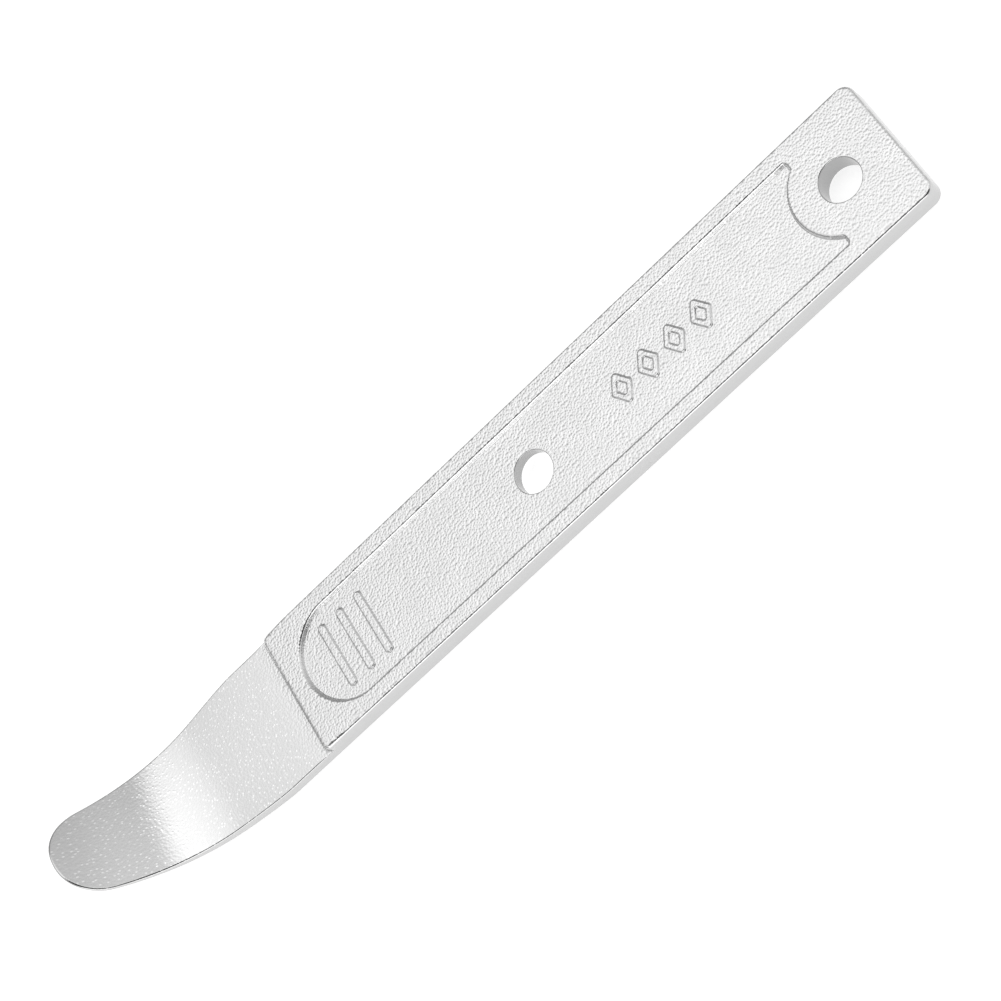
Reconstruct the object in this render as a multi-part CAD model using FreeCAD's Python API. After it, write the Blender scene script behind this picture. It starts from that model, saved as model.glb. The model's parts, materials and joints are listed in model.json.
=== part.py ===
"""Flat one-piece pry lever: a plated bar with a recessed grip and a thin blade that curls up at the tip.

Millimetres. X runs from the hanging end to the blade tip, Y across, Z up. The lever lies on its back
face, and the finished solid is moved so that the origin is the bottom centre of its bounding box.
While it is being built, x is measured from the centre of the hanging hole.
"""

import FreeCAD, Part
import math
import os

from FreeCAD import Vector

# Bar
width = 20.3
thickness = 3.6
hanging_end = -8.4
shoulder = 102.45
edge_round = 0.35
end_corner_round = 1.7
shoulder_corner_round = 1.2

# Holes
hole_radius = 3.0
hole_spacing = 55.4

# Recess, the same on both faces: a slot with a half-round front end, cut away around the hanging hole
recess_depth = 0.75
recess_half_width = 7.75
recess_front_centre = 91.6
boss_radius = 7.15
horn_tip = 3.75
horn_outer_round = 0.7
horn_inner_round = 0.4
recess_rim_round = 0.2
recess_floor_round = 0.3

# Raised details on the floor of the front recess
rib_length = 10.3
rib_width = 1.3
rib_rise = 0.35
rib_pitch = 3.55
first_rib = 86.4
rib_count = 3
mark_length = 3.9
mark_height = 6.3
mark_stroke = 0.8
mark_rise = 0.3
mark_pitch = 4.75
first_mark = 24.6
mark_count = 4
detail_round = 0.12

# Blade: flat behind the shoulder, then two arcs, and a short straight tip
blade_drop = 1.46
upper_bend_start = 119.7
upper_bend_radius = 24.7
lower_bend_start = 116.9
lower_bend_radius = 28.9
curl = math.radians(52.9)
straight_tip = 3.5
tip_radius = 6.75
blade_root = 96.0
shoulder_root_round = 0.5

# Half-widths of the tapering blade, each at its x
taper = [(108.0, 0.5 * width), (119.7, 9.26), (127.3, 8.28), (133.5, 7.37), (140.0, 6.20)]

half_width = 0.5 * width
blade_top = thickness - blade_drop


def prism(edges, base, direction):
    """A solid swept along direction from a closed chain of edges that lies at base."""
    face = Part.Face(Part.Wire(edges))
    face.translate(base)
    return face.extrude(direction)


def upright_edges(shape):
    """The straight edges of a shape that run along Z."""
    return [e for e in shape.Edges
            if len(e.Vertexes) == 2
            and isinstance(e.Curve, Part.Line)
            and abs(e.Vertexes[0].X - e.Vertexes[1].X) < 1e-6
            and abs(e.Vertexes[0].Y - e.Vertexes[1].Y) < 1e-6]


def edges_at(shape, z, inside):
    """The edges of a shape that lie flat at height z and whose whole box passes the inside test."""
    return [e for e in shape.Edges
            if abs(e.BoundBox.ZMin - z) < 1e-6
            and abs(e.BoundBox.ZMax - z) < 1e-6
            and inside(e.BoundBox)]


def bar():
    """The flat bar with rounded plan corners and softened long edges."""
    block = Part.makeBox(shoulder - hanging_end, width, thickness, Vector(hanging_end, -half_width, 0))
    middle = 0.5 * (hanging_end + shoulder)
    uprights = upright_edges(block)
    block = block.makeFillet(end_corner_round, [e for e in uprights if e.Vertexes[0].X < middle])
    uprights = upright_edges(block)
    front = [e for e in uprights if e.Vertexes[0].X > shoulder - 0.01]
    block = block.makeFillet(shoulder_corner_round, front)
    rims = [e for e in block.Edges if e.BoundBox.ZMax - e.BoundBox.ZMin < 1e-6]
    return block.makeFillet(edge_round, rims)


def bend(start, height, radius):
    """An upward arc of the full curl: its first, middle and last points in the XZ plane."""
    angles = (0.0, 0.5 * curl, curl)
    return [Vector(start + radius * math.sin(a), 0, height + radius * (1 - math.cos(a))) for a in angles]


def blade():
    """The thin blade, cut from a curled strip by its tapering outline and its round tip."""
    upper = bend(upper_bend_start, blade_top, upper_bend_radius)
    lower = bend(lower_bend_start, 0, lower_bend_radius)
    along = Vector(math.cos(curl), 0, math.sin(curl))
    across = Vector(-math.sin(curl), 0, math.cos(curl))
    upper_tip = upper[2] + along * straight_tip
    # the tip face is square to the upper surface, and the lower surface runs straight on to it
    lower_tip = lower[2] + along * (upper_tip - lower[2]).dot(along)
    root_low = Vector(blade_root, 0, 0)
    root_high = Vector(blade_root, 0, blade_top)
    side = [
        Part.makeLine(root_low, lower[0]),
        Part.Arc(*lower).toShape(),
        Part.makeLine(lower[2], lower_tip),
        Part.makeLine(lower_tip, upper_tip),
        Part.makeLine(upper_tip, upper[2]),
        Part.Arc(upper[2], upper[1], upper[0]).toShape(),
        Part.makeLine(upper[0], root_high),
        Part.makeLine(root_high, root_low),
    ]
    strip = prism(side, Vector(0, -half_width, 0), Vector(0, width, 0))

    left = Part.BSplineCurve()
    left.interpolate([Vector(x, y, 0) for x, y in taper])
    right = Part.BSplineCurve()
    right.interpolate([Vector(x, -y, 0) for x, y in taper])
    front = taper[-1][0] + 2 * tip_radius
    corners = [
        Vector(taper[-1][0], -taper[-1][1], 0),
        Vector(front, -tip_radius, 0),
        Vector(front, tip_radius, 0),
        Vector(taper[-1][0], taper[-1][1], 0),
    ]
    root_left = Vector(blade_root, half_width, 0)
    root_right = Vector(blade_root, -half_width, 0)
    plan = [
        Part.makeLine(root_left, Vector(taper[0][0], half_width, 0)),
        left.toShape(),
        Part.makeLine(corners[3], corners[2]),
        Part.makeLine(corners[2], corners[1]),
        Part.makeLine(corners[1], corners[0]),
        right.toShape(),
        Part.makeLine(Vector(taper[0][0], -half_width, 0), root_right),
        Part.makeLine(root_right, root_left),
    ]
    strip = strip.common(prism(plan, Vector(0, 0, -1), Vector(0, 0, 60)))

    centre = upper_tip - along * tip_radius - across * (2 * thickness)
    reach = 4 * thickness
    keep = Part.makeCylinder(tip_radius, reach, centre, across)
    waste = Part.makeBox(2 * tip_radius, 4 * tip_radius, reach)
    waste.Placement = FreeCAD.Placement(
        centre - Vector(0, 2 * tip_radius, 0),
        FreeCAD.Rotation(Vector(0, 1, 0), -math.degrees(curl)),
    )
    return strip.cut(waste.cut(keep))


def recess_cutter(z):
    """The recess volume, from z up by the recess depth."""
    side = recess_half_width
    join = math.sqrt(boss_radius**2 - horn_tip**2)
    front = recess_front_centre
    edges = [
        Part.Arc(Vector(front, -side, 0), Vector(front + side, 0, 0), Vector(front, side, 0)).toShape(),
        Part.makeLine(Vector(front, side, 0), Vector(horn_tip, side, 0)),
        Part.makeLine(Vector(horn_tip, side, 0), Vector(horn_tip, join, 0)),
        Part.Arc(Vector(horn_tip, join, 0), Vector(boss_radius, 0, 0), Vector(horn_tip, -join, 0)).toShape(),
        Part.makeLine(Vector(horn_tip, -join, 0), Vector(horn_tip, -side, 0)),
        Part.makeLine(Vector(horn_tip, -side, 0), Vector(front, -side, 0)),
    ]
    cutter = prism(edges, Vector(0, 0, z), Vector(0, 0, recess_depth))

    def corners(y):
        return [e for e in upright_edges(cutter)
                if abs(e.Vertexes[0].X - horn_tip) < 0.01 and abs(abs(e.Vertexes[0].Y) - y) < 0.01]

    cutter = cutter.makeFillet(horn_inner_round, corners(join))
    return cutter.makeFillet(horn_outer_round, corners(side))


def rib(x):
    """A round-ended grip rib across the recess floor."""
    radius = 0.5 * rib_width
    reach = 0.5 * rib_length - radius
    base = thickness - recess_depth
    edges = [
        Part.makeLine(Vector(x - radius, -reach, 0), Vector(x - radius, reach, 0)),
        Part.Arc(Vector(x - radius, reach, 0), Vector(x, reach + radius, 0),
                 Vector(x + radius, reach, 0)).toShape(),
        Part.makeLine(Vector(x + radius, reach, 0), Vector(x + radius, -reach, 0)),
        Part.Arc(Vector(x + radius, -reach, 0), Vector(x, -reach - radius, 0),
                 Vector(x - radius, -reach, 0)).toShape(),
    ]
    bar_shape = prism(edges, Vector(0, 0, base), Vector(0, 0, rib_rise))
    return bar_shape.makeFillet(detail_round, edges_at(bar_shape, base + rib_rise, lambda box: True))


def lozenge(x, length, height, rise):
    """A solid diamond centred at x on the recess floor."""
    corners = [
        Vector(x - 0.5 * length, 0, 0),
        Vector(x, 0.5 * height, 0),
        Vector(x + 0.5 * length, 0, 0),
        Vector(x, -0.5 * height, 0),
    ]
    edges = [Part.makeLine(a, b) for a, b in zip(corners, corners[1:] + corners[:1])]
    return prism(edges, Vector(0, 0, thickness - recess_depth), Vector(0, 0, rise))


def mark(x):
    """A raised hollow lozenge."""
    grow = mark_stroke * math.hypot(mark_length, mark_height)
    inner_length = mark_length - 2 * grow / mark_height
    inner_height = mark_height - 2 * grow / mark_length
    outer = lozenge(x, mark_length, mark_height, mark_rise)
    return outer.cut(lozenge(x, inner_length, inner_height, mark_rise))


def lever():
    """The whole lever as one solid."""
    body = bar().fuse(blade()).removeSplitter()

    root = edges_at(body, blade_top, lambda box: shoulder - 2 < box.XMin and box.XMax < shoulder + 0.01)
    body = body.makeFillet(shoulder_root_round, root)

    for z in (0.0, thickness - recess_depth):
        body = body.cut(recess_cutter(z))

    def in_recess(box):
        return (box.XMin > horn_tip - 0.1 and box.XMax < recess_front_centre + recess_half_width + 0.1
                and max(-box.YMin, box.YMax) < recess_half_width + 0.1)

    floors = (recess_depth, thickness - recess_depth)
    for z in floors:
        body = body.makeFillet(recess_floor_round, edges_at(body, z, in_recess))
    for z in (0.0, thickness):
        body = body.makeFillet(recess_rim_round, edges_at(body, z, in_recess))

    details = [rib(first_rib + i * rib_pitch) for i in range(rib_count)]
    details += [mark(first_mark + i * mark_pitch) for i in range(mark_count)]
    for detail in details:
        body = body.fuse(detail)
    for x in (0.0, hole_spacing):
        body = body.cut(Part.makeCylinder(hole_radius, thickness + 2, Vector(x, 0, -1)))

    body = body.removeSplitter()
    box = body.optimalBoundingBox(False)
    body.translate(Vector(-0.5 * (box.XMin + box.XMax), -0.5 * (box.YMin + box.YMax), -box.ZMin))
    return body


os.makedirs("parts", exist_ok=True)
shape = lever()
print("solids", len(shape.Solids), "valid", shape.isValid(), "volume", round(shape.Volume, 1))
shape.Solids[0].exportStep("parts/lever.step")
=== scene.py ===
"""Looks for the one-piece pry lever: a smooth, fully rounded mesh in plated metal around the CAD frame.

The surface is built flat, in millimetres: x runs from the centre of the hanging hole towards the tip,
y across, and heights are above the blade's upper surface. It is then curled and put in the frame.
"""

import bisect
import json
import math

import bmesh
import bpy
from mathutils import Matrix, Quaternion, Vector
from mathutils.geometry import delaunay_2d_cdt


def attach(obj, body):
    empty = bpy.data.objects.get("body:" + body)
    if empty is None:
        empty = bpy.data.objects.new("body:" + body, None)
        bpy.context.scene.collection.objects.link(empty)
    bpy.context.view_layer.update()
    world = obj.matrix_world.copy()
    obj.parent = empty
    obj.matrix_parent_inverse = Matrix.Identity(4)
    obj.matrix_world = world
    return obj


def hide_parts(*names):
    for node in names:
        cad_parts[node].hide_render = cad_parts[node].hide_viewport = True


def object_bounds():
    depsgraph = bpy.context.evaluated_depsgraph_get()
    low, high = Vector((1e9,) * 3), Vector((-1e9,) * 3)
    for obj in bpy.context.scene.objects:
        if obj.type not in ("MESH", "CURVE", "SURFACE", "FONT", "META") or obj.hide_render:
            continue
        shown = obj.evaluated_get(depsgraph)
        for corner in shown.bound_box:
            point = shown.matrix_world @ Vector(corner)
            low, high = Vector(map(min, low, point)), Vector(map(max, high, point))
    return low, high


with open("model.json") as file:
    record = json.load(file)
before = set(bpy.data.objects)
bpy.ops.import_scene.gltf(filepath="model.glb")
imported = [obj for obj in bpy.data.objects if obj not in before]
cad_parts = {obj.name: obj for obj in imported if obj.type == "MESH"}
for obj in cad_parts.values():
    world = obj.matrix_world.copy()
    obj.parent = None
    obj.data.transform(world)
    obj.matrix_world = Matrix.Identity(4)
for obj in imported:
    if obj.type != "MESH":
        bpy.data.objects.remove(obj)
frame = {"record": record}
cad_low, cad_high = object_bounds()
mounts = {mount["name"]: mount for mount in frame["record"]["mounts"]}

MM = 0.001
QUARTER = 0.5 * math.pi
NEAR = 1e-6

# Places and sizes that the frame gives, in millimetres
hole_x = mounts["hanging_hole"]["pos_m"][0] / MM
hole_radius = mounts["hanging_hole"]["dims"]["r_mm"]
middle_hole = mounts["middle_hole"]["pos_m"][0] / MM - hole_x
thickness = mounts["hanging_hole"]["dims"]["length_mm"]
recess_depth = 0.5 * (thickness - mounts["middle_hole"]["dims"]["length_mm"])
half_width = 0.5 * (cad_high.y - cad_low.y) / MM
hanging_end = cad_low.x / MM - hole_x

# Bar
shoulder = 102.45
end_corner = 1.7
shoulder_corner = 1.2
edge_round = 0.45
shoulder_round = 0.9
shoulder_ease = 5.5
step_drop = 1.46
root_round = 0.5
hole_round = 0.18

# Recess
recess_half_width = 7.93
recess_front = 91.6
boss_radius = 7.05
horn_tip = 3.65
horn_outer = 0.85
horn_inner = 0.74
rim_round = 0.45
floor_round = 0.12
wall_slope = math.radians(70)

# Raised details
rib_length = 10.0
rib_width = 0.78
rib_rise = 0.35
rib_places = (86.4, 89.95, 93.5)
mark_length = 4.0
mark_height = 6.3
mark_stroke = 0.3
mark_rise = 0.3
mark_places = (24.6, 29.35, 34.1, 38.85)
mark_outer_corner = 0.28
mark_inner_corner = 0.52
detail_round = 0.22
detail_slope = math.radians(62)

# Blade
blade_level = thickness - step_drop
bend_start = 119.7
bend_radius = 24.7
bend_ease = 3.0
curl = math.radians(52.9)
blade_end = 146.0
taper_start = 109.9
taper_rate = 0.134
taper_ease = 4.0
tip_length = 6.69
tip_power = 2.25
thin_from = 111.0
tip_thickness = 0.6
blade_round = 0.3
blade_round_ease = 4.0
round_share = 0.45
blade_crown = 0.0041
blade_crown_start = 108.0
blade_crown_ease = 24.0

# Grain: 1 is fully pebbled, a faint one is satin with specks that carry a painted glint, 0 is a plain side
# with painted shade, below 0 a hole's wall with darker painted shade
blade_grain = 0.3
blade_grain_fade = 0.25
under_blade_grain = 0.12
under_grain_ease = 4.0
painted_hole_shade_grain = -0.5
wall_smoothing = 0.55
edge_smoothing = 0.85
under_edge_smoothing = 2.0
worn_share = 0.25
worn_length = 70.0

# How finely curves and rounded edges are divided
wall_facets = 4
edge_facets = 5
edge_tilts = [QUARTER * i / edge_facets for i in range(edge_facets + 1)]
wide_arc = 2.0
wide_arc_spacing = math.radians(3.0)
small_arc_spacing = math.radians(10.0)

# Plating, with painted shade on the holes' walls and the sides and a painted glint on the specks; the
# reliefs are in metres
hole_painted_shade_grey = 0.44
side_painted_shade_grey = 0.6
blade_grey = 0.75
bar_grey = 0.83
speck_painted_glint_grey = 1.0
speck_scale = 1300.0
speck_group_scale = 500.0
speck_relief = 0.00001
pebble_scale = 2850.0
pebble_relief = 0.00007
cloud_scale = 260.0


def smooth(value):
    """0 below 0, 1 above 1, and an S between them."""
    value = min(max(value, 0.0), 1.0)
    return value * value * (3 - 2 * value)


# Outlines are lists of (x, y, normal x, normal y), counter-clockwise


def arc(centre, radius, start, sweep, side=1):
    """Points along an arc; side is -1 where the outline's outside is on the arc's inside."""
    spacing = wide_arc_spacing if radius > wide_arc else small_arc_spacing
    steps = max(3, math.ceil(abs(sweep) / spacing))
    points = []
    for i in range(steps + 1):
        across, along = math.cos(start + sweep * i / steps), math.sin(start + sweep * i / steps)
        points.append((
            centre[0] + radius * across, centre[1] + radius * along, side * across, side * along
        ))
    return points


def joined(arcs):
    """One outline from arcs that follow each other, without the points that two of them share."""
    outline = [point for points in arcs for point in points]
    return [p for i, p in enumerate(outline) if math.dist(p[:2], outline[i - 1][:2]) > NEAR]


def rounded(corners):
    """An outline from convex corners (x, y, radius)."""
    arcs = []
    for i, (x, y, radius) in enumerate(corners):
        here = Vector((x, y))
        before = (here - Vector(corners[i - 1][:2])).normalized()
        after = (Vector(corners[(i + 1) % len(corners)][:2]) - here).normalized()
        turn = before.angle(after)
        centre = here + (after - before).normalized() * (radius / math.cos(0.5 * turn))
        arcs.append(arc(centre, radius, math.atan2(-before.x, before.y), turn))
    return joined(arcs)


def divided(outline, spacing):
    """The same outline with points added along its long straight stretches."""
    result = []
    for i, point in enumerate(outline):
        following = outline[(i + 1) % len(outline)]
        parts = max(1, round(math.hypot(following[0] - point[0], following[1] - point[1]) / spacing))
        for k in range(parts):
            result.append(tuple(a + (b - a) * k / parts for a, b in zip(point, following)))
    return result


def circle(x, radius):
    """A round outline centred on the middle line."""
    return arc((x, 0), radius, 0, 4 * QUARTER)[:-1]


def recess_outline():
    """The recess: half-round in front, cut away around the hanging hole, with two rounded horns."""
    inner_x = horn_tip + horn_inner
    inner_y = math.sqrt((boss_radius + horn_inner) ** 2 - inner_x**2)
    lean = math.atan2(inner_y, inner_x)
    outer_x = horn_tip + horn_outer
    outer_y = recess_half_width - horn_outer
    return joined([
        arc((recess_front, 0), recess_half_width, -QUARTER, 2 * QUARTER),
        arc((outer_x, outer_y), horn_outer, QUARTER, QUARTER),
        arc((inner_x, inner_y), horn_inner, 2 * QUARTER, lean),
        arc((0, 0), boss_radius, lean, -2 * lean, -1),
        arc((inner_x, -inner_y), horn_inner, 2 * QUARTER - lean, lean),
        arc((outer_x, -outer_y), horn_outer, 2 * QUARTER, QUARTER),
    ])


def wall_steps(drop, crown, foot, slope):
    """A wall's section from its top edge down: (distance out, distance down, tilt) at each step."""
    tilts = [slope * i / wall_facets for i in range(wall_facets + 1)]
    steps = [(crown * math.sin(t), crown * (1 - math.cos(t)), t) for t in tilts]
    straight = drop - (crown + foot) * (1 - math.cos(slope))
    out = (crown + foot) * math.sin(slope) + straight / math.tan(slope)
    steps += [(out - foot * math.sin(t), drop - foot * (1 - math.cos(t)), t) for t in reversed(tilts)]
    return steps


def curl_rows():
    """(length along, x, height, slope angle) of the blade's upper surface, from its bend to its tip."""
    step = 0.05
    spare = 1.0
    first = bend_start - bend_ease
    last = bend_start + curl * bend_radius
    x, z, angle = first, 0.0, 0.0
    rows = [(first, x, z, angle)]
    for i in range(round((blade_end + spare - first) / step)):
        along = first + (i + 0.5) * step
        entering = smooth((along - first) / (2 * bend_ease))
        leaving = 1 - smooth((along - last + bend_ease) / (2 * bend_ease))
        angle += step * entering * leaving / bend_radius
        x += step * math.cos(angle)
        z += step * math.sin(angle)
        rows.append((first + (i + 1) * step, x, z, angle))
    return rows


curl_line = curl_rows()
curl_lengths = [row[0] for row in curl_line]


def curled(along):
    """x, height and slope angle of the blade's upper surface at a length along the lever."""
    if along <= curl_lengths[0]:
        return along, 0.0, 0.0
    i = min(bisect.bisect_right(curl_lengths, along), len(curl_line) - 1)
    low, high = curl_line[i - 1], curl_line[i]
    share = (along - low[0]) / (high[0] - low[0])
    return tuple(a + share * (b - a) for a, b in zip(low[1:], high[1:]))


def blade_thickness(along):
    """The blade is as thick as its root until it starts to thin towards the tip."""
    thinning = smooth((along - thin_from) / (blade_end - thin_from))
    return blade_level + (tip_thickness - blade_level) * thinning


def taper(along):
    """Half the blade's width, before its tip is rounded."""
    past = max(along - taper_start, 0.0)
    return half_width - taper_rate * past**2 / (past + taper_ease)


def crown_at(along):
    """How fast the blade's surface falls off to its sides, and how that changes along it."""
    step = 0.01
    here, there = (
        blade_crown * smooth((place - blade_crown_start) / blade_crown_ease)
        for place in (along, along + step)
    )
    return here, (there - here) / step


def reach_at(along):
    """Half the blade's width, with its round tip."""
    share = max(0.0, (along - blade_end + tip_length) / tip_length)
    return taper(along) * (1 - share**tip_power) ** (1 / tip_power)


def blade_outline(start):
    """The blade's sides and tip, from start on the right round to start on the left."""
    tip_start = blade_end - tip_length
    steps = 90
    lengths = [start + (tip_start - start) * i / steps for i in range(steps)]
    turns = 40
    for i in range(turns):
        lengths.append(tip_start + tip_length * math.sin(QUARTER * i / turns) ** (2 / tip_power))
    side = [(along, reach_at(along)) for along in lengths]
    points = [(x, -y) for x, y in side] + [(blade_end, 0.0)] + side[::-1]
    outline = []
    for i, (x, y) in enumerate(points):
        before, after = points[max(i - 1, 0)], points[min(i + 1, len(points) - 1)]
        way = Vector((after[0] - before[0], after[1] - before[1])).normalized()
        outline.append((x, y, way.y, -way.x))
    return outline


class Skin:
    """Points with their own normals and grain, joined into faces."""

    def __init__(self):
        self.points = []
        self.normals = []
        self.grain = []
        self.faces = []

    def add(self, x, y, height, normal, grain):
        """One point; returns its number."""
        self.points.append((x, y, height))
        self.normals.append(normal)
        self.grain.append(grain)
        return len(self.points) - 1

    def ring(self, outline, offset, height, tilt, up=1, grain=1.0):
        """One loop of an outline, moved out by offset; its normal leans out by tilt from up."""
        lean, rise = math.sin(tilt), up * math.cos(tilt)
        return [
            self.add(x + nx * offset, y + ny * offset, height, (nx * lean, ny * lean, rise), grain)
            for x, y, nx, ny in outline
        ]

    def edge_ring(self, outline, tilt, level_at, radius_at, grain_at, up=1):
        """One loop of a rounded edge whose level, radius and grain depend on the place along it."""
        lean, rise = math.sin(tilt), up * math.cos(tilt)
        ring = []
        for x, y, nx, ny in outline:
            radius = radius_at(x)
            inset = radius * (1 - lean)
            height = level_at(x) - up * radius * (1 - math.cos(tilt))
            normal = (nx * lean, ny * lean, rise)
            ring.append(self.add(x - nx * inset, y - ny * inset, height, normal, grain_at(x, tilt)))
        return ring

    def strip(self, first, second, closed=True):
        """Quads between two loops that have the same number of points."""
        for i in range(len(first) if closed else len(first) - 1):
            j = (i + 1) % len(first)
            corners = [first[i], first[j], second[j], second[i]]
            corners = [c for k, c in enumerate(corners) if c != corners[k - 1]]
            if len(corners) > 2:
                self.faces.append(corners)

    def chain(self, rings, closed=True):
        """Quads between each loop and the next."""
        for first, second in zip(rings, rings[1:]):
            self.strip(first, second, closed)

    def holds(self, ring, x, y):
        """True if a loop goes round a point of the plan."""
        found = False
        for i, number in enumerate(ring):
            x1, y1, _ = self.points[ring[i - 1]]
            x2, y2, _ = self.points[number]
            if (y1 > y) != (y2 > y) and x < x1 + (y - y1) * (x2 - x1) / (y2 - y1):
                found = not found
        return found

    def fill(self, outer, holes=(), extra=()):
        """Triangles between an outer loop and its holes, through the extra points."""
        used = [*outer, *(number for hole in holes for number in hole), *extra]
        order = {number: k for k, number in enumerate(used)}
        edges = []
        for ring in (outer, *holes):
            edges += [(order[ring[i - 1]], order[ring[i]]) for i in range(len(ring))]
        flat = [Vector(self.points[number][:2]) for number in used]
        places, _, faces, origins, _, _ = delaunay_2d_cdt(flat, edges, [], 0, 1e-7)
        for face in faces:
            x = sum(places[k].x for k in face) / 3
            y = sum(places[k].y for k in face) / 3
            if self.holds(outer, x, y) and not any(self.holds(hole, x, y) for hole in holes):
                self.faces.append([used[origins[k][0]] for k in face])

    def wall(self, outline, top, drop, crown, foot, slope, up=1, way=1):
        """A sloping wall with rounded edges, from its top outline out by way; returns its loops."""
        rings = []
        for out, down, tilt in wall_steps(drop, crown, foot, slope):
            grain = 1 - wall_smoothing * smooth(tilt)
            rings.append(self.ring(outline, way * out, top - up * down, way * tilt, up, grain))
        self.chain(rings)
        return rings

    def hole_rim(self, x, level, up):
        """The rounded edge of a hole; returns its outer loop and the first loop of the hole's wall."""
        rings = []
        for i in range(wall_facets + 1):
            tilt = QUARTER * i / wall_facets
            out = hole_round * (1 - math.sin(tilt))
            height = level - up * hole_round * (1 - math.cos(tilt))
            # down the hole's wall the grain falls below 0, which gives the wall its darker painted shade
            grain = 1 + (painted_hole_shade_grain - 1) * i / wall_facets
            rings.append(self.ring(circle(x, hole_radius), out, height, -tilt, up, grain))
        self.chain(rings)
        return rings[0], rings[-1]


def rib(skin, x, floor):
    """A round-ended rib across the recess; returns the loop of its foot."""
    wide, reach = 0.5 * rib_width, 0.5 * rib_length
    outline = rounded([
        (x - wide, -reach, wide), (x + wide, -reach, wide), (x + wide, reach, wide), (x - wide, reach, wide)
    ])
    rings = skin.wall(outline, floor + rib_rise, rib_rise, detail_round, detail_round, detail_slope)
    skin.fill(rings[0])
    return rings[-1]


def lozenge(x, inset, corner):
    """A mark's diamond outline with rounded corners, drawn in by inset."""
    diagonal = math.hypot(mark_length, mark_height)
    length = 0.5 * mark_length - inset * diagonal / mark_height
    height = 0.5 * mark_height - inset * diagonal / mark_length
    return rounded([
        (x, -height, corner), (x + length, 0, corner), (x, height, corner), (x - length, 0, corner),
    ])


def mark(skin, x, floor):
    """A raised hollow lozenge; returns the loop of its foot."""
    run = wall_steps(mark_rise, detail_round, detail_round, detail_slope)[-1][0]
    shape = (floor + mark_rise, mark_rise, detail_round, detail_round, detail_slope)
    outer = skin.wall(lozenge(x, run, mark_outer_corner), *shape)
    inner = skin.wall(lozenge(x, run + mark_stroke, mark_inner_corner), *shape, way=-1)
    skin.fill(outer[0], [inner[0]])
    skin.fill(inner[-1])
    return outer[-1]


def bar_face(skin, level, up, outer, extra=()):
    """One face of the bar; returns the loops that the two holes' walls start from."""
    recess = skin.wall(recess_outline(), level, recess_depth, rim_round, floor_round, wall_slope, up, -1)
    hanging, hanging_wall = skin.hole_rim(0.0, level, up)
    skin.fill(outer, [recess[0], hanging], extra)

    floor = level - up * recess_depth
    middle, middle_wall = skin.hole_rim(middle_hole, floor, up)
    feet = [middle]
    if up > 0:
        feet += [rib(skin, x, floor) for x in rib_places]
        feet += [mark(skin, x, floor) for x in mark_places]
    skin.fill(recess[-1], feet)
    return hanging_wall, middle_wall


def bar_level(x):
    """Height of the bar's front face."""
    return thickness - blade_level


def blade_top(x):
    """Height of the blade's upper surface."""
    return 0.0


def blade_bottom(x):
    """Height of the back, under the bar and the blade."""
    return -blade_thickness(x)


def bar_round(x):
    """Radius of the bar's front edge, which grows towards the step."""
    growth = smooth((x - shoulder + shoulder_ease) / shoulder_ease)
    return edge_round + (shoulder_round - edge_round) * growth


def blade_edge(x):
    """Radius of the blade's upper edge, which grows from nothing at the step."""
    growth = smooth((x - shoulder + shoulder_corner) / blade_round_ease)
    return growth * min(blade_round, round_share * blade_thickness(x))


def under_edge(x):
    """Radius of the back's edge."""
    return min(edge_round, round_share * blade_thickness(x))


def bar_grain(x, tilt):
    """The bar's pebbles fade out over its rounded edge."""
    return 1 - smooth(edge_smoothing * tilt)


def faint_grain(x, tilt):
    """The blade's faint grain fades out over its rounded edge."""
    return blade_grain * (1 - smooth(edge_smoothing * tilt))


def under_grain(x, tilt):
    """The back is pebbled under the bar and nearly smooth under the blade, and fades out over its edge."""
    fade = smooth((x - shoulder) / under_grain_ease)
    return (1 - smooth(under_edge_smoothing * tilt)) * (1 + (under_blade_grain - 1) * fade)


def blade_grid(skin, height_at, grain, up):
    """Points over the blade, close enough for its faces to follow the curl; pebbled only by the bar."""
    margin = 0.9
    flat_gap = 1.9
    flat_spacing = 2.4
    flat_rows = 6
    curl_spacing = 0.6
    side_spacing = 1.4
    curl_start = bend_start - bend_ease
    curl_count = int((blade_end - margin - curl_start) / curl_spacing) + 1
    lengths = [shoulder + flat_gap + flat_spacing * i for i in range(flat_rows)]
    lengths += [curl_start + curl_spacing * i for i in range(curl_count)]
    points = []
    for along in lengths:
        reach = reach_at(along) - margin
        count = max(1, round(2 * reach / side_spacing))
        local_grain = max(grain, 1 - blade_grain_fade * (along - shoulder))
        for i in range(count + 1):
            y = reach * (2 * i / count - 1)
            points.append(skin.add(along, y, height_at(along), (0, 0, up), local_grain))
    return points


def bar_outline():
    """The bar's outline, with points close enough to follow its edge's changing radius."""
    spacing = 1.5
    return divided(rounded([
        (hanging_end, -half_width, end_corner), (shoulder, -half_width, shoulder_corner),
        (shoulder, half_width, shoulder_corner), (hanging_end, half_width, end_corner),
    ]), spacing)


def step_down(skin, brim, ledge, front):
    """The step, whose soft root dies away round the bar's corners; returns its lowest row of points."""
    rows = [brim]
    for tilt in reversed(edge_tilts):
        lean, rise = math.sin(tilt), math.cos(tilt)
        row = [ledge[-1]]
        for x, y, nx, ny in front:
            radius = root_round * smooth(nx) ** 2
            out = radius * (1 - lean)
            normal = (nx * lean, ny * lean, rise)
            row.append(skin.add(x + nx * out, y + ny * out, radius * (1 - rise), normal, 1.0))
        rows.append([*row, ledge[0]])
    skin.chain(rows, closed=False)
    return rows[-1]


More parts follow.
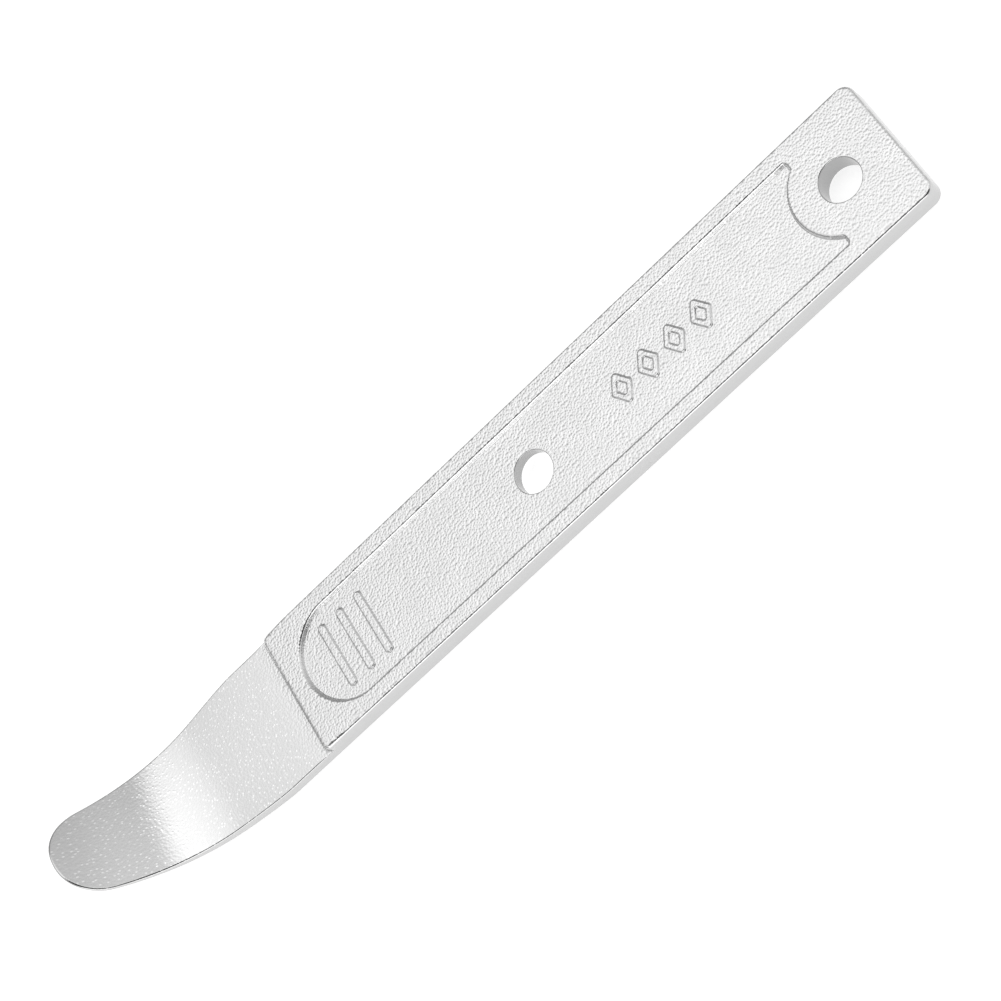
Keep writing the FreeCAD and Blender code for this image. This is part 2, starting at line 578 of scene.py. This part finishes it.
def lever_skin():
    """The whole surface of the lever, still flat."""
    skin = Skin()

    # the bar's front face and its rounded edge, whose points from first to last go along the step
    body = bar_outline()
    start = shoulder - shoulder_corner
    across = [
        i for i, (x, y, nx, ny) in enumerate(body)
        if x > start - NEAR and (nx > NEAR or x < start + NEAR)
    ]
    first, last = across[0], across[-1]
    rest = body[last + 1:] + body[:first]
    edge = [skin.edge_ring(body, tilt, bar_level, bar_round, bar_grain) for tilt in edge_tilts]
    skin.chain(edge)
    front_walls = bar_face(skin, bar_level(shoulder), 1, edge[0])

    # the bar's sides down to the blade's level, and the step
    brim = edge[-1]
    ledge = [skin.add(x, y, 0.0, (nx, ny, 0), 0.0) for x, y, nx, ny in [body[last], *rest, body[first]]]
    skin.strip(brim[last:] + brim[:first + 1], ledge, closed=False)
    root = step_down(skin, brim[first:last + 1], ledge, body[first + 1:last])

    # the blade's upper surface and its rounded edge
    blade = blade_outline(start)
    edge = []
    for tilt in edge_tilts:
        ring = skin.edge_ring(blade[1:-1], tilt, blade_top, blade_edge, faint_grain)
        edge.append([ledge[-1], *ring, ledge[0]])
    skin.chain(edge, closed=False)
    skin.fill(edge[0] + root[-2:0:-1], (), blade_grid(skin, blade_top, blade_grain, 1))

    # the rest of the sides, the rounded lower edge and the back
    brim = edge[-1] + ledge[1:-1]
    under = [
        skin.edge_ring(blade + rest, tilt, blade_bottom, under_edge, under_grain, -1)
        for tilt in reversed(edge_tilts)
    ]
    skin.chain([brim, *under])
    grid = blade_grid(skin, blade_bottom, under_blade_grain, -1)
    back_walls = bar_face(skin, -blade_level, -1, under[-1], grid)
    for front, back in zip(front_walls, back_walls):
        skin.strip(front, back)
    return skin


def lever():
    """The lever's mesh in the frame, with the skin's own normals and, as an attribute, its worn grain."""
    skin = lever_skin()
    points, normals, grains = [], [], []
    for (along, y, height), (nx, ny, nz), grain in zip(skin.points, skin.normals, skin.grain):
        wear = worn_share * smooth(1 - along / worn_length)
        grains.append(grain * (1 - wear) if grain > 0 else grain)
        fall, growth = crown_at(along)
        height = max(height - fall * y * y, -blade_level)
        nx += growth * y * y * nz
        ny += 2 * fall * y * nz
        x, lift, angle = curled(along)
        lean, rise = math.sin(angle), math.cos(angle)
        points.append((
            (hole_x + x - height * lean) * MM, y * MM, (blade_level + lift + height * rise) * MM
        ))
        normals.append(Vector((nx * rise - nz * lean, ny, nx * lean + nz * rise)).normalized())
    mesh = bpy.data.meshes.new("lever_surface")
    mesh.from_pydata(points, [], skin.faces)
    attribute = mesh.attributes.new("grain", "FLOAT", "POINT")
    attribute.data.foreach_set("value", grains)
    work = bmesh.new()
    work.from_mesh(mesh)
    bmesh.ops.recalc_face_normals(work, faces=work.faces)
    work.to_mesh(mesh)
    work.free()
    mesh.shade_smooth()
    mesh.normals_split_custom_set_from_vertices(normals)
    piece = bpy.data.objects.new("lever_surface", mesh)
    bpy.context.scene.collection.objects.link(piece)
    return piece


def spread(tree, source, values, results, blend="LINEAR"):
    """A value mapped from one range to another."""
    ramp = tree.nodes.new("ShaderNodeMapRange")
    ramp.interpolation_type = blend
    for name, value in zip(("From Min", "From Max", "To Min", "To Max"), (*values, *results)):
        ramp.inputs[name].default_value = value
    tree.links.new(source, ramp.inputs["Value"])
    return ramp.outputs["Result"]


def merged(tree, operation, first, second):
    """Two values put together."""
    math_node = tree.nodes.new("ShaderNodeMath")
    math_node.operation = operation
    tree.links.new(first, math_node.inputs[0])
    tree.links.new(second, math_node.inputs[1])
    return math_node.outputs["Value"]


def plated_metal():
    """Bright satin plating: pebbled where the grain attribute is high, with specks where it is faint.
    Painted shade darkens the sides and, most, the holes' walls; the specks are bumps with a painted glint.
    """
    material = bpy.data.materials.new("plated_metal")
    material.use_nodes = True
    tree = material.node_tree
    nodes, links = tree.nodes, tree.links
    shader = nodes["Principled BSDF"]
    shader.inputs["Metallic"].default_value = 1.0
    place = nodes.new("ShaderNodeTexCoord")
    rising = (0.0, 1.0)
    falling = (1.0, 0.0)

    def noise(scale, detail):
        """A soft noise over the object."""
        texture = nodes.new("ShaderNodeTexNoise")
        texture.inputs["Scale"].default_value = scale
        texture.inputs["Detail"].default_value = detail
        links.new(place.outputs["Object"], texture.inputs["Vector"])
        return texture.outputs["Fac"]

    def dots(scale, feature):
        """Distances to scattered points, over the plan."""
        texture = nodes.new("ShaderNodeTexVoronoi")
        texture.voronoi_dimensions = "2D"
        texture.feature = feature
        texture.inputs["Scale"].default_value = scale
        links.new(place.outputs["Object"], texture.inputs["Vector"])
        return texture.outputs["Distance"]

    def tinted(factor, first, second):
        """A colour between two, each a node's output or a grey."""
        mix = nodes.new("ShaderNodeMix")
        mix.data_type = "RGBA"
        for name, colour in (("A", first), ("B", second)):
            if isinstance(colour, float):
                mix.inputs[name].default_value = (colour, colour, colour, 1)
            else:
                links.new(colour, mix.inputs[name])
        links.new(factor, mix.inputs["Factor"])
        return mix.outputs["Result"]

    grain = nodes.new("ShaderNodeAttribute")
    grain.attribute_name = "grain"
    amount = grain.outputs["Fac"]

    # specks in loose groups, only where the grain is faint: small bumps with a painted glint, white in the
    # base colour
    faint = spread(tree, amount, (0.05, 0.2), rising)
    unpebbled = spread(tree, amount, (0.35, 0.55), falling)
    satin = merged(tree, "MULTIPLY", faint, unpebbled)
    scattered = spread(tree, dots(speck_scale, "F1"), (0.1, 0.22), falling)
    groups = spread(tree, noise(speck_group_scale, 1.0), (0.36, 0.52), rising)
    speck_bumps_and_glints = merged(tree, "MULTIPLY", merged(tree, "MULTIPLY", scattered, satin), groups)

    # painted shade: the base colour is darkest in the holes and darker on the sides than on the faces; it
    # is brightest where it is pebbled
    side = tinted(spread(tree, amount, (painted_hole_shade_grain, 0.0), rising), hole_painted_shade_grey, side_painted_shade_grey)
    face = tinted(spread(tree, amount, (0.2, 0.6), rising), blade_grey, bar_grey)
    tone_with_painted_shade = tinted(spread(tree, amount, (0.0, 0.3), rising), side, face)
    # base colour: painted shade on the sides and holes' walls, and a painted glint where the specks are
    links.new(tinted(speck_bumps_and_glints, tone_with_painted_shade, speck_painted_glint_grey), shader.inputs["Base Color"])
    cloudy = spread(tree, noise(cloud_scale, 3.0), (0.3, 0.7), (0.85, 1.1))
    rough = spread(tree, amount, (0.3, 0.6), (0.2, 0.29))
    links.new(merged(tree, "MULTIPLY", cloudy, rough), shader.inputs["Roughness"])

    bumps = nodes.new("ShaderNodeBump")
    bumps.inputs["Distance"].default_value = speck_relief
    links.new(speck_bumps_and_glints, bumps.inputs["Height"])
    pebbles = nodes.new("ShaderNodeBump")
    pebbles.inputs["Distance"].default_value = pebble_relief
    pebbles.invert = True
    links.new(spread(tree, amount, (0.13, 1.0), rising), pebbles.inputs["Strength"])
    links.new(dots(pebble_scale, "SMOOTH_F1"), pebbles.inputs["Height"])
    links.new(bumps.outputs["Normal"], pebbles.inputs["Normal"])
    links.new(pebbles.outputs["Normal"], shader.inputs["Normal"])
    return material


def floor():
    """A plain pale ground under the lever."""
    size = 3.0
    mesh = bpy.data.meshes.new("ground")
    corners = [(-size, -size, 0), (size, -size, 0), (size, size, 0), (-size, size, 0)]
    mesh.from_pydata(corners, [], [(0, 1, 2, 3)])
    ground = bpy.data.objects.new("ground", mesh)
    ground.location.z = cad_low.z
    bpy.context.scene.collection.objects.link(ground)
    material = bpy.data.materials.new("pale_ground")
    material.use_nodes = True
    shader = material.node_tree.nodes["Principled BSDF"]
    shader.inputs["Base Color"].default_value = (0.5, 0.5, 0.5, 1)
    shader.inputs["Roughness"].default_value = 0.9
    shader.inputs["Specular IOR Level"].default_value = 0.1
    shader.inputs["Emission Color"].default_value = (1, 1, 1, 1)
    shader.inputs["Emission Strength"].default_value = 0.8
    mesh.materials.append(material)


def softbox(name, direction, distance, size, power):
    """A round area light that faces the lever from a direction."""
    data = bpy.data.lights.new(name, "AREA")
    data.shape = "DISK"
    data.size = size
    data.energy = power
    light = bpy.data.objects.new(name, data)
    way = Vector(direction).normalized()
    light.location = way * distance
    light.rotation_euler = way.to_track_quat("Z", "Y").to_euler()
    bpy.context.scene.collection.objects.link(light)


def towards(tree, direction, values, strengths, blend="SMOOTHSTEP"):
    """A surround's strength that goes from one value to another as it nears a direction."""
    place = tree.nodes.new("ShaderNodeTexCoord")
    near = tree.nodes.new("ShaderNodeVectorMath")
    near.operation = "DOT_PRODUCT"
    near.inputs[1].default_value = Vector(direction).normalized()
    tree.links.new(place.outputs["Generated"], near.inputs[0])
    return spread(tree, near.outputs["Value"], values, strengths, blend)


def studio():
    """A pale surround, brightest overhead and low on the left, with two dark corners, and a soft key."""
    world = bpy.data.worlds.new("studio")
    bpy.context.scene.world = world
    world.use_nodes = True
    tree = world.node_tree
    darkening = (1.0, 0.03)
    pale = towards(tree, (-0.37, 0.24, 0.41), (0.1, 1.0), (0.29, 1.0), "LINEAR")
    overhead = towards(tree, (0.36, 0.04, 0.93), (0.6, 0.78), (0.0, 0.6))
    side = towards(tree, (0.35, 0.9, 0.25), (0.75, 0.93), (0.0, 1.3))
    rear_corner = towards(tree, (-0.28, 0.58, 0.765), (0.81, 0.89), darkening)
    front_corner = towards(tree, (0.42, 0.5, 0.755), (0.91, 0.965), darkening)
    light = merged(tree, "ADD", merged(tree, "ADD", pale, overhead), side)
    strength = merged(tree, "MULTIPLY", merged(tree, "MULTIPLY", light, rear_corner), front_corner)
    tree.links.new(strength, tree.nodes["Background"].inputs["Strength"])
    tree.nodes["Background"].inputs["Color"].default_value = (1, 1, 1, 1)
    softbox("key", direction=(0.15, -0.45, 0.88), distance=0.8, size=0.58, power=0.1)


def camera():
    """Looks down on the front face from above its left side, with the hanging end at the upper right."""
    azimuth = math.radians(-149.144)
    elevation = math.radians(55.812)
    roll = math.radians(-69.505)
    distance = 0.32425
    aim = Vector((-0.00561, 0.00023, thickness * MM))
    data = bpy.data.cameras.new("camera")
    data.sensor_width = 36.0
    data.lens = 87.82
    data.clip_start = 0.01
    viewer = bpy.data.objects.new("camera", data)
    level = math.cos(elevation)
    back = Vector((math.sin(azimuth) * level, -math.cos(azimuth) * level, math.sin(elevation)))
    viewer.location = aim + back * distance
    turn = (-back).to_track_quat("-Z", "Y") @ Quaternion((0, 0, 1), roll)
    viewer.rotation_euler = turn.to_euler()
    bpy.context.scene.collection.objects.link(viewer)
    bpy.context.scene.camera = viewer


camera()
studio()
floor()
bpy.context.scene.view_settings.view_transform = "Standard"
surface = lever()
surface.data.materials.append(plated_metal())
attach(surface, "root")
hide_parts("lever")
